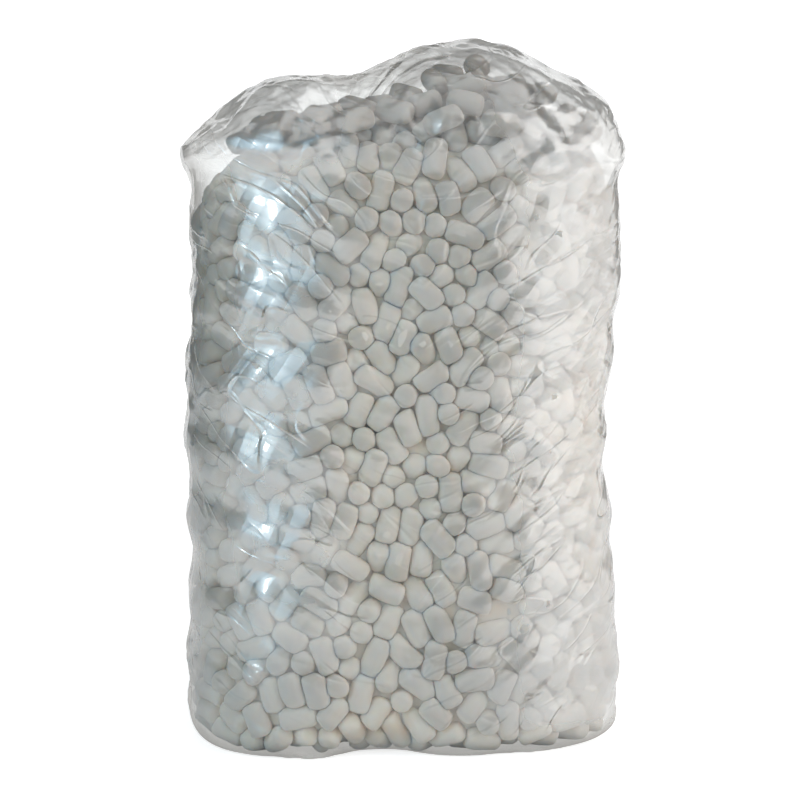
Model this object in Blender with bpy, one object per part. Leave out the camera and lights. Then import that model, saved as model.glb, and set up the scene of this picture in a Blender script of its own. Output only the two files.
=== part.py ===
"""A clear film bag filled with white loose-fill packing peanuts, its gathered neck closed by a tie.

The origin is at the centre of the footprint, on the surface that the bag stands on. The front is -Y and
up is +Z. The bag is one thin shell of film, from its flat foot to the open end of its pleated neck. The
packed peanuts press on each other all round and are one body, in which each outer peanut is a hipped lump
with its own direction. They are mounded under the slack crown, and loose peanuts lie in a heap on top.
"""

import math
import random

import bmesh
import bpy
import numpy as np
from mathutils import Matrix, Vector
from mathutils.bvhtree import BVHTree

# Overall size of the filled bag
BAG_WIDTH = 0.360
BAG_DEPTH = 0.272
SHOULDER_HEIGHT = 0.481
FOOT_ROUNDING = 0.024
SECTION_SQUARENESS = 3.2
WAIST_DEPTH = 0.004

# How far the bag leans to its right (+X) at shares of the shoulder height
LEAN = [(0.0, 0.0), (0.27, 0.0), (0.52, -0.006), (0.82, 0.0033), (1.0, 0.0)]

# Film, drawn at several times the thickness of the real one
FILM_WALL = 0.0002
FILM_COLUMNS = 36
FOOT_ROWS = 3
FOOT_FLAT_SHARES = (0.6, 0.8)

# Folds that run round the sides, and the soft crease down the front
FOLD_PITCH = 0.061
FOLD_DEPTH = 0.0035
FOLD_SLANT = 0.9
FRONT_FOLD_SHARE = 0.35
CREASE_PLACE = -0.030
CREASE_WIDTH = 0.032
CREASE_DEPTH = 0.004
CREASE_FOOT_DEPTH = 0.009
CREASE_FOOT_LIFT = 0.012
CREASE_FOOT_HEIGHT = 0.040
CREASE_FADE_START = 0.7

# Slack crown: its skyline from left to right, as shares of the half width and heights above the shoulder
CROWN_SKYLINE = [
    (-1.00, 0.000), (-0.86, 0.014), (-0.73, 0.041), (-0.60, 0.057), (-0.48, 0.060), (-0.33, 0.050),
    (-0.14, 0.060), (0.08, 0.083), (0.30, 0.087), (0.52, 0.075), (0.72, 0.058), (0.90, 0.044), (1.00, 0.000),
]
CROWN_RIDGE = -0.015
CROWN_FULLNESS = 2.4
CROWN_EDGE = 0.6
CROWN_STEPS = (0.05, 0.15, 0.30, 0.48, 0.66, 0.82, 0.94, 1.0)

# Neck, gathered in a hollow behind the dip in the crown
NECK_PLACE = (-0.052, 0.058)
NECK_RADIUS = 0.0085
NECK_MARGIN = 0.0045
NECK_PLEATS = 9
PLEAT_DEPTH = 0.0026
CROWN_PLEAT_DEPTH = 0.0030
HOLLOW_DEPTH = 0.048
HOLLOW_WIDTH = 0.044
TUFT_LENGTH = 0.014
TUFT_FLARE = 0.007
TUFT_PLEAT_DEPTH = 0.004

# Tie round the neck
TIE_WIDTH = 0.006
TIE_THICKNESS = 0.0016
TIE_SIDES = 24
TIE_CLEARANCE = 0.0003

# One packing peanut: a short rod of foamed starch with rounded ends
PEANUT_DIAMETER = 0.020
PEANUT_LENGTH = 0.030
PEANUT_ROUNDING = 0.0035
PEANUT_SIDES = 7

# The plain form that the packed peanuts fill
SEAT_GAP = 0.0003
PACKED_CLEARANCE = 0.0030
PACKED_RISE = 0.002
PACKED_TOP_SQUARENESS = 8

# The mound that they make under the crown: its rise over the shoulder at shares of the half width, where
# the peanuts start to rise as a share of the shoulder height, and the room that they leave under the film
MOUND = [
    (-1.00, -0.018), (-0.82, -0.012), (-0.60, 0.010), (-0.31, 0.018), (0.00, 0.030), (0.42, 0.045),
    (0.68, 0.040), (0.86, 0.018), (1.00, 0.000),
]
MOUND_START = 0.80
MOUND_ROOM = 0.010

# How near each other the packed peanuts are thrown, and how they are then pushed apart
PACKING_TIGHTNESS = 0.95
PACKING_THROWS = 9000
PUSH_REACH = 1.9
PUSH_STRIDE = 0.1
PUSH_STEPS = 30

# Each outer peanut: its setback from the film at most, its ridge, and how strongly its outline is drawn out
PEANUT_SETBACK = 0.0030
RIDGE_INSET = 0.006
CELL_LENGTHENING = 2.0
UPRIGHT_SHARE = 0.2

# Loose peanuts: how many each layer has at most, and the middle of its spiral
HEAP_LAYERS = [(72, (0.020, -0.020)), (10, (0.055, -0.016))]
HEAP_TILT = 0.45
HEAP_TRIES = 6
DROP_STEP = 0.004
DROP_ACCURACY = 0.00003
CROWN_CLEARANCE = 0.0050

SHARP_ANGLE = math.radians(50)
GOLDEN_ANGLE = math.pi * (3 - math.sqrt(5))
SEED = 7


def clear_scene():
    for old in list(bpy.data.objects):
        bpy.data.objects.remove(old, do_unlink=True)


def material(name, colour, roughness, alpha=1.0):
    finish = bpy.data.materials.new(name)
    finish.use_nodes = True
    shader = finish.node_tree.nodes["Principled BSDF"]
    shader.inputs["Base Color"].default_value = (*colour, 1.0)
    shader.inputs["Roughness"].default_value = roughness
    shader.inputs["Metallic"].default_value = 0.0
    shader.inputs["Alpha"].default_value = alpha
    return finish


def mesh_from(name, points, faces, finish, sharp_angle=SHARP_ANGLE):
    """A mesh of triangles, so that both skins of a thin wall are split the same way."""
    mesh = bpy.data.meshes.new(name)
    mesh.from_pydata([tuple(p) for p in points], [], faces)
    work = bmesh.new()
    work.from_mesh(mesh)
    bmesh.ops.triangulate(work, faces=work.faces[:])
    bmesh.ops.recalc_face_normals(work, faces=work.faces[:])
    work.to_mesh(mesh)
    work.free()
    mesh.materials.append(finish)
    mesh.shade_smooth()
    mesh.set_sharp_from_angle(angle=sharp_angle)
    return mesh


def place_object(name, mesh, matrix=None):
    thing = bpy.data.objects.new(name, mesh)
    bpy.context.scene.collection.objects.link(thing)
    if matrix is not None:
        thing.matrix_world = matrix
    return thing


def smooth_step(low, high, value):
    share = min(1.0, max(0.0, (value - low) / (high - low)))
    return share * share * (3 - 2 * share)


def section_radius(angle, inset):
    """Distance from the axis to the bag's rounded rectangular section, at an angle from +X."""
    across = abs(math.cos(angle)) / (BAG_WIDTH / 2 - inset)
    along = abs(math.sin(angle)) / (BAG_DEPTH / 2 - inset)
    return (across ** SECTION_SQUARENESS + along ** SECTION_SQUARENESS) ** (-1 / SECTION_SQUARENESS)


def section_point(angle, inset, z):
    radius = section_radius(angle, inset)
    return Vector((radius * math.cos(angle), radius * math.sin(angle), z))


def lean_at(height_share):
    for (share0, lean0), (share1, lean1) in zip(LEAN, LEAN[1:]):
        if height_share <= share1:
            return lean0 + (lean1 - lean0) * smooth_step(share0, share1, height_share)
    return LEAN[-1][1]


def filled_form(point, spare=0.0):
    """Moves a point of the plain bag to its place in the filled one, which leans, and is drawn in at places.

    It goes in at the waist and at the front crease. What lies inside the film goes further in at the crease,
    by the spare amount.
    """
    x, y, z = point
    height_share = min(1.0, max(0.0, z / SHOULDER_HEIGHT))
    waist = WAIST_DEPTH * math.sin(math.pi * height_share) ** 2
    x *= 1 - waist / (BAG_WIDTH / 2)
    y *= 1 - waist / (BAG_DEPTH / 2)
    front = smooth_step(BAG_DEPTH / 4, BAG_DEPTH / 2, -y)
    groove = front * math.exp(-(((x - CREASE_PLACE) / CREASE_WIDTH) ** 2))
    near_foot = math.exp(-max(0.0, z) / CREASE_FOOT_HEIGHT)
    below_shoulder = 1 - smooth_step(CREASE_FADE_START, 1.0, height_share)
    y += groove * (CREASE_DEPTH * below_shoulder + CREASE_FOOT_DEPTH * near_foot + spare)
    z += groove * near_foot * (CREASE_FOOT_LIFT * front + spare)
    return Vector((x + lean_at(height_share), y, z))


def fold_inset(angle, z):
    """How far the slanting folds draw the film in. They are deepest at the left and right."""
    phase = 2 * math.pi * z / FOLD_PITCH + FOLD_SLANT * math.sin(2 * angle)
    side = FRONT_FOLD_SHARE + (1 - FRONT_FOLD_SHARE) * math.cos(angle) ** 2
    return FOLD_DEPTH * side * (0.5 - 0.5 * math.cos(phase))


def rise_over(line, x):
    """The rise at x of a line, given as shares of the half width and rises."""
    share = x / (BAG_WIDTH / 2)
    for (share0, rise0), (share1, rise1) in zip(line, line[1:]):
        if share <= share1:
            return rise0 + (rise1 - rise0) * max(0.0, share - share0) / (share1 - share0)
    return line[-1][1]


def off_ridge(x, y):
    """How far a point of the plan is from the crown's ridge: 0 on the ridge, 1 at the rim."""
    across = min(1.0, abs(x) / (BAG_WIDTH / 2))
    half_depth = BAG_DEPTH / 2 * (1 - across ** SECTION_SQUARENESS) ** (1 / SECTION_SQUARENESS)
    ridge = CROWN_RIDGE * half_depth / (BAG_DEPTH / 2)
    reach = half_depth - ridge if y > ridge else half_depth + ridge
    return min(1.0, abs(y - ridge) / max(reach, FILM_WALL))


def crown_height(x, y):
    """Height of the slack film over a point of the plan, with the hollow that the neck stands in."""
    fullness = (1 - off_ridge(x, y) ** CROWN_FULLNESS) ** CROWN_EDGE
    from_neck = math.hypot(x - NECK_PLACE[0], y - NECK_PLACE[1])
    hollow = HOLLOW_DEPTH * math.exp(-((from_neck / HOLLOW_WIDTH) ** 2))
    return SHOULDER_HEIGHT + (rise_over(CROWN_SKYLINE, x) - hollow) * fullness


def mounded(point):
    """Moves a point of the plain packed form up to the mound's, or down to stay under the slack film."""
    x, y, z = point
    rise = rise_over(MOUND, x)
    if rise > 0:
        rise *= 1 - off_ridge(x, y) ** 2
    rise = min(rise, crown_height(x, y) - SHOULDER_HEIGHT - MOUND_ROOM)
    return Vector((x, y, z + rise * smooth_step(MOUND_START * SHOULDER_HEIGHT, SHOULDER_HEIGHT, z)))


def film_angles():
    return [2 * math.pi * k / FILM_COLUMNS for k in range(FILM_COLUMNS)]


def round_neck(angle, radius, z):
    return Vector((NECK_PLACE[0] + radius * math.cos(angle), NECK_PLACE[1] + radius * math.sin(angle), z))


def neck_ring(radius, depth, z):
    ring = []
    for angle in film_angles():
        pleat = depth * (0.5 - 0.5 * math.cos(NECK_PLEATS * angle))
        ring.append(round_neck(angle, radius - pleat, z))
    return ring


def foot_rings():
    rings = []
    for share in FOOT_FLAT_SHARES:
        rings.append([share * section_point(a, FOOT_ROUNDING, 0.0) for a in film_angles()])
    for step in range(FOOT_ROWS):
        turn = math.pi / 2 * step / FOOT_ROWS
        inset = FOOT_ROUNDING * (1 - math.sin(turn))
        rings.append([section_point(a, inset, FOOT_ROUNDING * (1 - math.cos(turn))) for a in film_angles()])
    return rings


def side_rings():
    rows = round((SHOULDER_HEIGHT - FOOT_ROUNDING) / (FOLD_PITCH / 2))
    rings = []
    for row in range(rows + 1):
        z = FOOT_ROUNDING + (SHOULDER_HEIGHT - FOOT_ROUNDING) * row / rows
        folded = math.sqrt(max(0.0, math.sin(math.pi * row / rows)))
        rings.append([section_point(a, folded * fold_inset(a, z), z) for a in film_angles()])
    return rings


def crown_rings():
    """From the shoulder to the neck, with pleats that grow as the film is gathered."""
    neck_z = crown_height(*NECK_PLACE)
    neck = neck_ring(NECK_RADIUS, PLEAT_DEPTH, neck_z)
    rings = []
    for step in CROWN_STEPS[:-1]:
        ring = []
        for angle, gathered in zip(film_angles(), neck):
            flat = section_point(angle, 0.0, 0.0).lerp(gathered, step)
            pleat = CROWN_PLEAT_DEPTH * step * math.cos(NECK_PLEATS * angle)
            ring.append(Vector((flat.x, flat.y, crown_height(flat.x, flat.y) + pleat)))
        rings.append(ring)
    return rings


def neck_rings():
    foot = crown_height(*NECK_PLACE)
    top = foot + 2 * NECK_MARGIN + TIE_WIDTH
    return [
        neck_ring(NECK_RADIUS, PLEAT_DEPTH, foot),
        neck_ring(NECK_RADIUS, PLEAT_DEPTH, top),
        neck_ring(NECK_RADIUS + TUFT_FLARE / 2, PLEAT_DEPTH, top + TUFT_LENGTH / 2),
        neck_ring(NECK_RADIUS + TUFT_FLARE, TUFT_PLEAT_DEPTH, top + TUFT_LENGTH),
    ]


def make_film(finish):
    filled = [[filled_form(p) for p in ring] for ring in foot_rings() + side_rings()]
    rings = filled + crown_rings() + neck_rings()
    points = [p for ring in rings for p in ring]
    faces = [tuple(reversed(range(FILM_COLUMNS)))]
    for row in range(len(rings) - 1):
        for k in range(FILM_COLUMNS):
            here, beside = row * FILM_COLUMNS + k, row * FILM_COLUMNS + (k + 1) % FILM_COLUMNS
            faces.append((here, beside, beside + FILM_COLUMNS, here + FILM_COLUMNS))
    film = place_object("bag_film", mesh_from("bag_film", points, faces, finish))
    wall = film.modifiers.new("film wall", "SOLIDIFY")
    wall.thickness = FILM_WALL
    wall.offset = -1.0
    return film


def make_tie(finish):
    """A flat band wound once round the gathered neck, clear of the pleats' crests."""
    inner = NECK_RADIUS + TIE_CLEARANCE
    middle = crown_height(*NECK_PLACE) + NECK_MARGIN + TIE_WIDTH / 2
    profile = [
        (inner, -TIE_WIDTH / 2), (inner + TIE_THICKNESS, -TIE_WIDTH / 2),
        (inner + TIE_THICKNESS, TIE_WIDTH / 2), (inner, TIE_WIDTH / 2),
    ]
    # The band's flats lie outside the round neck, so that no chord cuts into it
    corner = 1 / math.cos(math.pi / TIE_SIDES)
    points = []
    for radius, z in profile:
        for k in range(TIE_SIDES):
            points.append(round_neck(2 * math.pi * k / TIE_SIDES, radius * corner, middle + z))
    faces = []
    for row in range(4):
        for k in range(TIE_SIDES):
            beside = (k + 1) % TIE_SIDES
            above = (row + 1) % 4 * TIE_SIDES
            faces.append((row * TIE_SIDES + k, row * TIE_SIDES + beside, above + beside, above + k))
    return place_object("neck_tie", mesh_from("neck_tie", points, faces, finish))


class PackedForm:
    """The plain outer form of the packed peanuts: rounded in plan, and nearly flat below and on top."""

    def __init__(self):
        inset = FILM_WALL + FOLD_DEPTH + PACKED_CLEARANCE
        bottom = FILM_WALL + SEAT_GAP
        top = SHOULDER_HEIGHT + PACKED_RISE
        self.half = np.array((BAG_WIDTH / 2 - inset, BAG_DEPTH / 2 - inset, (top - bottom) / 2))
        self.centre = np.array((0.0, 0.0, (top + bottom) / 2))
        # Rounded a little more at the foot than the film is
        rounding = (FOOT_ROUNDING + PACKED_CLEARANCE) * (1 - math.sqrt(0.5))
        self.foot_squareness = math.log(2) / -math.log(1 - rounding / self.half[1])

    def norm(self, points):
        """1 on the form, less inside it. It scales with the distance from the centre."""
        share = np.abs(points - self.centre) / self.half
        plan = (share[:, :2] ** SECTION_SQUARENESS).sum(axis=1) ** (1 / SECTION_SQUARENESS)
        squareness = np.where(points[:, 2] > self.centre[2], PACKED_TOP_SQUARENESS, self.foot_squareness)
        return (plan ** squareness + share[:, 2] ** squareness) ** (1 / squareness)

    def on_form(self, points):
        return self.centre + (points - self.centre) / self.norm(points)[:, None]

    def outward(self, points):
        step = SEAT_GAP
        slopes = [self.norm(points + step * axis) - self.norm(points - step * axis) for axis in np.eye(3)]
        normal = np.stack(slopes, axis=1)
        return normal / np.linalg.norm(normal, axis=1)[:, None]

    def scatter(self, draw, count):
        """Points spread over the form, from points on the faces of its box."""
        sides = self.half[[1, 0, 0]] * self.half[[2, 2, 1]]
        face = draw.choice(3, size=count, p=sides / sides.sum())
        points = draw.uniform(-1.0, 1.0, (count, 3))
        points[np.arange(count), face] = draw.choice((-1.0, 1.0), size=count)
        return self.on_form(self.centre + points * self.half)


def peanut_centres(form, draw):
    """One point for each outer peanut: thrown at random, kept apart, then evened out."""
    spacing = PACKING_TIGHTNESS * PEANUT_DIAMETER
    kept = []
    for point in form.scatter(draw, PACKING_THROWS):
        if not kept or np.linalg.norm(np.array(kept) - point, axis=1).min() > spacing:
            kept.append(point)
    centres = np.array(kept)
    reach = PUSH_REACH * spacing
    for _ in range(PUSH_STEPS):
        apart = centres[:, None, :] - centres[None, :, :]
        gap = np.linalg.norm(apart, axis=2)
        np.fill_diagonal(gap, reach)
        push = np.clip(1 - gap / reach, 0, None) / gap
        centres = form.on_form(centres + PUSH_STRIDE * reach * (apart * push[:, :, None]).sum(axis=1))
    return centres


def neighbour_net(form, centres):
    """A bmesh of triangles whose corners are the peanuts' centres, so that its edges join neighbours."""
    net = bmesh.new()
    around = (centres - form.centre) / form.half
    for direction in around / np.linalg.norm(around, axis=1)[:, None]:
        net.verts.new(direction)
    bmesh.ops.convex_hull(net, input=net.verts[:])
    for vert, centre in zip(net.verts, centres):
        vert.co = centre
    bmesh.ops.beautify_fill(net, faces=net.faces[:], edges=net.edges[:], method="ANGLE")
    bmesh.ops.recalc_face_normals(net, faces=net.faces[:])
    net.verts.index_update()
    net.faces.index_update()
    return net


def reach_towards(axes, lengths, directions):
    """How far each peanut's outline reaches along a direction, as an oval of its own length and diameter."""
    along = np.abs((axes * directions).sum(axis=1)) / np.maximum(np.linalg.norm(directions, axis=1), SEAT_GAP)
    across = np.sqrt(np.clip(1 - along ** 2, 0, None))
    return 1 / np.sqrt((along / (lengths / 2)) ** 2 + (across / (PEANUT_DIAMETER / 2)) ** 2)


def make_packed_peanuts(finish):
    form = PackedForm()
    draw = np.random.default_rng(SEED)
    centres = peanut_centres(form, draw)
    count = len(centres)
    normals = form.outward(centres)
    axes = draw.normal(size=(count, 3))
    axes -= (axes * normals).sum(axis=1)[:, None] * normals
    axes /= np.linalg.norm(axes, axis=1)[:, None]
    upright = draw.random(count) < UPRIGHT_SHARE
    lengths = np.where(upright, PEANUT_DIAMETER, PEANUT_LENGTH)
    net = neighbour_net(form, centres)

    # A crevice corner lies between three peanuts, as deep as their axes, and nearer to those that reach less
    # far towards it
    trios = np.array([[v.index for v in face.verts] for face in net.faces])
    middle = centres[trios].mean(axis=1)
    reach = np.array([reach_towards(axes[k], lengths[k], middle - centres[k]) for k in trios.T])
    pull = reach ** -CELL_LENGTHENING
    corners = (centres[trios.T] * pull[:, :, None]).sum(axis=0) / pull.sum(axis=0)[:, None]
    corners = form.on_form(corners)
    corners -= PEANUT_DIAMETER / 2 * form.outward(corners)

    # The two ends of each peanut's ridge
    half_ridge = (lengths / 2 - RIDGE_INSET)[:, None]
    setback = PEANUT_SETBACK * draw.random((2, count, 1))
    ends = []
    for side, back in zip((-1, 1), setback):
        end = form.on_form(centres + side * half_ridge * axes)
        ends.append(end - back * form.outward(end))

    points = np.concatenate((corners, ends[0], ends[1]))
    faces = []
    for vert in net.verts:
        low, high = len(corners) + vert.index, len(corners) + count + vert.index
        loop = vert.link_loops[0]
        cell = []
        for _ in vert.link_loops:
            cell.append(loop.face.index)
            loop = loop.link_loop_prev.link_loop_radial_next
        axis = axes[vert.index]
        nearest = [high if axis @ (corners[c] - centres[vert.index]) > 0 else low for c in cell]
        for k, corner in enumerate(cell):
            following = (k + 1) % len(cell)
            faces.append((nearest[k], corner, cell[following]))
            if nearest[k] != nearest[following]:
                faces.append((nearest[k], cell[following], nearest[following]))
    net.free()
    settled = [filled_form(mounded(p), PACKED_CLEARANCE) for p in points]
    mesh = mesh_from("peanut_fill", settled, faces, finish)
    for edge in mesh.edges:
        edge.use_edge_sharp = max(edge.vertices) < len(corners)
    return place_object("peanut_fill", mesh)


def peanut_mesh(finish):
    """One loose peanut along its own Z."""
    radius, half = PEANUT_DIAMETER / 2, PEANUT_LENGTH / 2
    profile = [
        (radius - PEANUT_ROUNDING, -half), (radius, PEANUT_ROUNDING - half),
        (radius, half - PEANUT_ROUNDING), (radius - PEANUT_ROUNDING, half),
    ]
    points = []
    for reach, z in profile:
        for k in range(PEANUT_SIDES):
            angle = 2 * math.pi * k / PEANUT_SIDES
            points.append((reach * math.cos(angle), reach * math.sin(angle), z))
    faces = [tuple(reversed(range(PEANUT_SIDES))), tuple(range(3 * PEANUT_SIDES, 4 * PEANUT_SIDES))]
    for row in range(3):
        for k in range(PEANUT_SIDES):
            here, beside = row * PEANUT_SIDES + k, row * PEANUT_SIDES + (k + 1) % PEANUT_SIDES
            faces.append((here, beside, beside + PEANUT_SIDES, here + PEANUT_SIDES))
    return mesh_from("loose_peanut", points, faces, finish)


def tree_of(mesh, matrix):
    corners = [matrix @ v.co for v in mesh.vertices]
    return BVHTree.FromPolygons(corners, [p.vertices[:] for p in mesh.polygons])


def lowered(mesh, turn, x, y, top, obstacles):
    """The lowest place at x, y where a peanut that comes down is clear of everything by the seat gap."""

    def touches(z):
        here = tree_of(mesh, Matrix.Translation((x, y, z)) @ turn)
        return any(here.overlap(other) for other in obstacles)

    clear, z = top, top
    while not touches(z):
        clear = z
        z -= DROP_STEP
        if z < SHOULDER_HEIGHT / 2:
            return None
    while clear - z > DROP_ACCURACY:
        middle = (clear + z) / 2
        if touches(middle):
            z = middle
        else:
            clear = middle
    return Matrix.Translation((x, y, clear + SEAT_GAP)) @ turn


def is_under_crown(point):
    """Whether a point is inside the bag's plan and below the slack film, both with the crown clearance."""
    x, y, z = point
    inside = math.hypot(x, y) < section_radius(math.atan2(y, x), CROWN_CLEARANCE)
    return inside and crown_height(x, y) - z > CROWN_CLEARANCE


def fits_under_crown(mesh, place):
    return all(is_under_crown(place @ v.co) for v in mesh.vertices)


def make_heap(packed, finish):
    """Loose peanuts, dropped one by one on a sunflower spiral, each turned so that it comes to lie lowest."""
    dice = random.Random(SEED)
    mesh = peanut_mesh(finish)
    obstacles = [tree_of(packed.data, packed.matrix_world)]
    start = SHOULDER_HEIGHT + max(rise for _, rise in CROWN_SKYLINE)
    heap = []
    for layer, middle in HEAP_LAYERS:
        for k in range(layer):
            reach = PEANUT_LENGTH * math.sqrt((k + 0.5) / math.pi)
            x = middle[0] + reach * math.cos(k * GOLDEN_ANGLE) * math.sqrt(BAG_WIDTH / BAG_DEPTH)
            y = middle[1] + reach * math.sin(k * GOLDEN_ANGLE) * math.sqrt(BAG_DEPTH / BAG_WIDTH)
            best = None
            for _ in range(HEAP_TRIES):
                yaw = Matrix.Rotation(dice.uniform(0, math.pi), 4, "Z")
                turn = yaw @ Matrix.Rotation(math.pi / 2 + dice.uniform(-HEAP_TILT, HEAP_TILT), 4, "Y")
                place = lowered(mesh, turn, x, y, start, obstacles)
                if place and (best is None or place.translation.z < best.translation.z):
                    best = place
            if best and fits_under_crown(mesh, best):
                heap.append(best)
                obstacles.append(tree_of(mesh, best))
    for number, place in enumerate(heap, start=1):
        place_object(f"loose_peanut_{number:02d}", mesh, place)


def main():
    clear_scene()
    film_finish = material("clear film", (0.86, 0.88, 0.90), 0.12, alpha=0.25)
    peanut_finish = material("starch foam", (0.90, 0.89, 0.85), 0.75)
    tie_finish = material("white tie", (0.85, 0.85, 0.83), 0.45)
    make_film(film_finish)
    make_tie(tie_finish)
    packed = make_packed_peanuts(peanut_finish)
    make_heap(packed, peanut_finish)


main()
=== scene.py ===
# A clear bag of packing peanuts: the film, the peanuts that press on it, the loose ones on top and the tie.
# All lengths are in metres. The front of the bag is -Y and up is +Z.
import bpy
import math
import numpy as np
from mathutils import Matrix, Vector, kdtree, noise
from mathutils.bvhtree import BVHTree


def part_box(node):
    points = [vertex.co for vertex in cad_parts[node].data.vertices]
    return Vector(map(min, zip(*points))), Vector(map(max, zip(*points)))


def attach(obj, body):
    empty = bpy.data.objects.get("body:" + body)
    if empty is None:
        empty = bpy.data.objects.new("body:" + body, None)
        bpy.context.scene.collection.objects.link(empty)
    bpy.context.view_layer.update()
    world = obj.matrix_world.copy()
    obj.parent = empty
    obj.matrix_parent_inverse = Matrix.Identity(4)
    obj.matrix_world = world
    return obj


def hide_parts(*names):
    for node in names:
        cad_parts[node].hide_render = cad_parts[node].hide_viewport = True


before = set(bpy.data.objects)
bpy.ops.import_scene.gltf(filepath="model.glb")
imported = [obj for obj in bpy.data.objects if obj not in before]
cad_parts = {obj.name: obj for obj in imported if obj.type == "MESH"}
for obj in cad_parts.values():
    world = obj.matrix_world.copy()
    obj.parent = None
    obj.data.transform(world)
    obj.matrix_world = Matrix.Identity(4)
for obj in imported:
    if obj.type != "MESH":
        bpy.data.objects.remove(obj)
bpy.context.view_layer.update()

scene = bpy.context.scene
scene.view_settings.view_transform = "Standard"
print("frame loaded,", len(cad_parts), "nodes")

# The bag's form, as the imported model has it
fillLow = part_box("peanut_fill")[0]
tieLow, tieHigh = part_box("neck_tie")
bag = {
    "width": 0.360,
    "depth": 0.272,
    "shoulder": 0.481,          # where the sides end and the slack crown starts
    "footRounding": 0.024,
    "squareness": 3.2,          # of the plan: 2 is an oval, more is nearer to a rectangle
    "waist": 0.004,             # how far the sides are drawn in at mid height
    # to +X, by share of the height
    "lean": [(0.0, 0.0), (0.27, 0.0), (0.52, -0.006), (0.82, 0.0033), (1.0, 0.0)],
    "creaseAt": -0.030,         # the soft upright crease down the front
    "creaseWidth": 0.032,
    "creaseDepth": 0.004,
    "creaseFootDepth": 0.009,
    "creaseFootLift": 0.012,
    "creaseFootHeight": 0.040,
    "creaseEnds": (0.7, 1.0),   # the shares of the shoulder's height between which it dies out
    "foldPitch": 0.061,         # folds round the sides
    "foldDepth": 0.0035,
    "foldSlant": 0.9,
    "frontFoldShare": 0.35,
    # of the slack crown, over the shoulder, by share of half the width
    "skyline": [
        (-1.00, 0.000), (-0.86, 0.014), (-0.73, 0.041), (-0.60, 0.057), (-0.48, 0.060), (-0.33, 0.050),
        (-0.14, 0.060), (0.08, 0.083), (0.30, 0.087), (0.52, 0.075), (0.72, 0.058), (0.90, 0.044),
        (1.00, 0.000),
    ],
    "skylinePoints": 201,
    "skylineRounds": 60,
    "ridge": -0.015,            # where the crown is highest, from front to back
    "fullness": 2.4,            # more makes the crown flatter on top
    "edge": 0.6,                # less makes it rise more steeply from its rim
    "neckAt": (-0.052, 0.058),
    "hollowDepth": 0.048,       # round the neck
    "hollowWidth": 0.044,
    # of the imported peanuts, over the shoulder
    "mound": [
        (-1.00, -0.018), (-0.82, -0.012), (-0.60, 0.010), (-0.31, 0.018), (0.00, 0.030), (0.42, 0.045),
        (0.68, 0.040), (0.86, 0.018), (1.00, 0.000),
    ],
    "moundStart": 0.80,         # the share of the shoulder's height from which it lifts them
    "moundRoom": 0.010,         # under the film
}


def smoothStep(low, high, value):
    share = np.clip((value - low) / (high - low), 0.0, 1.0)
    return share * share * (3 - 2 * share)


def norms(vectors):
    return np.sqrt((vectors * vectors).sum(axis=-1))


def unit(vectors):
    return vectors / np.maximum(norms(vectors), 1e-9)[..., None]


def leanAt(heightShare):
    lean = np.zeros_like(heightShare)
    for (share0, lean0), (share1, lean1) in zip(bag["lean"], bag["lean"][1:]):
        here = (heightShare >= share0) & (heightShare <= share1)
        lean = np.where(here, lean0 + (lean1 - lean0) * smoothStep(share0, share1, heightShare), lean)
    return lean


def filledForm(points):
    # from the plain bag to the filled one: leaning, and in at the waist and at the front crease
    x, y, z = points[..., 0].copy(), points[..., 1].copy(), points[..., 2].copy()
    heightShare = np.clip(z / bag["shoulder"], 0.0, 1.0)
    waist = bag["waist"] * np.sin(math.pi * heightShare) ** 2
    x *= 1 - waist / (bag["width"] / 2)
    y *= 1 - waist / (bag["depth"] / 2)
    front = smoothStep(bag["depth"] / 4, bag["depth"] / 2, -y)
    groove = front * np.exp(-(((x - bag["creaseAt"]) / bag["creaseWidth"]) ** 2))
    nearFoot = np.exp(-np.maximum(0.0, z) / bag["creaseFootHeight"])
    belowShoulder = 1 - smoothStep(*bag["creaseEnds"], heightShare)
    y += groove * (bag["creaseDepth"] * belowShoulder + bag["creaseFootDepth"] * nearFoot)
    z += groove * front * bag["creaseFootLift"] * nearFoot
    return np.stack((x + leanAt(heightShare), y, z), axis=-1)


def foldInset(angle, z):
    # how far the folds round the sides draw the film in, from the foot to the shoulder
    phase = 2 * math.pi * z / bag["foldPitch"] + bag["foldSlant"] * np.sin(2 * angle)
    side = bag["frontFoldShare"] + (1 - bag["frontFoldShare"]) * np.cos(angle) ** 2
    up = np.clip((z - bag["footRounding"]) / (bag["shoulder"] - bag["footRounding"]), 0.0, 1.0)
    return bag["foldDepth"] * side * (0.5 - 0.5 * np.cos(phase)) * np.sqrt(np.sin(math.pi * up))


def smoothSkyline():
    # the skyline's corners are rounded, as the film has none there
    places, rises = np.array(bag["skyline"]).T
    fine = np.linspace(-1, 1, bag["skylinePoints"])
    line = np.interp(fine, places, rises)
    for _ in range(bag["skylineRounds"]):
        line[1:-1] = 0.5 * line[1:-1] + 0.25 * (line[:-2] + line[2:])
    bag["skyline"] = list(zip(fine, line))


def offRidge(x, y):
    # 0 on the crown's ridge, 1 at its rim
    n = bag["squareness"]
    halfDepth = bag["depth"] / 2
    share = np.clip(np.abs(x) / (bag["width"] / 2), 0, 1)
    deep = halfDepth * np.clip(1 - share ** n, 0, 1) ** (1 / n)
    ridge = bag["ridge"] * deep / halfDepth
    reach = np.where(y > ridge, deep - ridge, deep + ridge)
    return np.clip(np.abs(y - ridge) / np.maximum(reach, 0.0002), 0, 1)


def riseOver(line, x):
    places, rises = np.array(line).T
    return np.interp(x / (bag["width"] / 2), places, rises)


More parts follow.
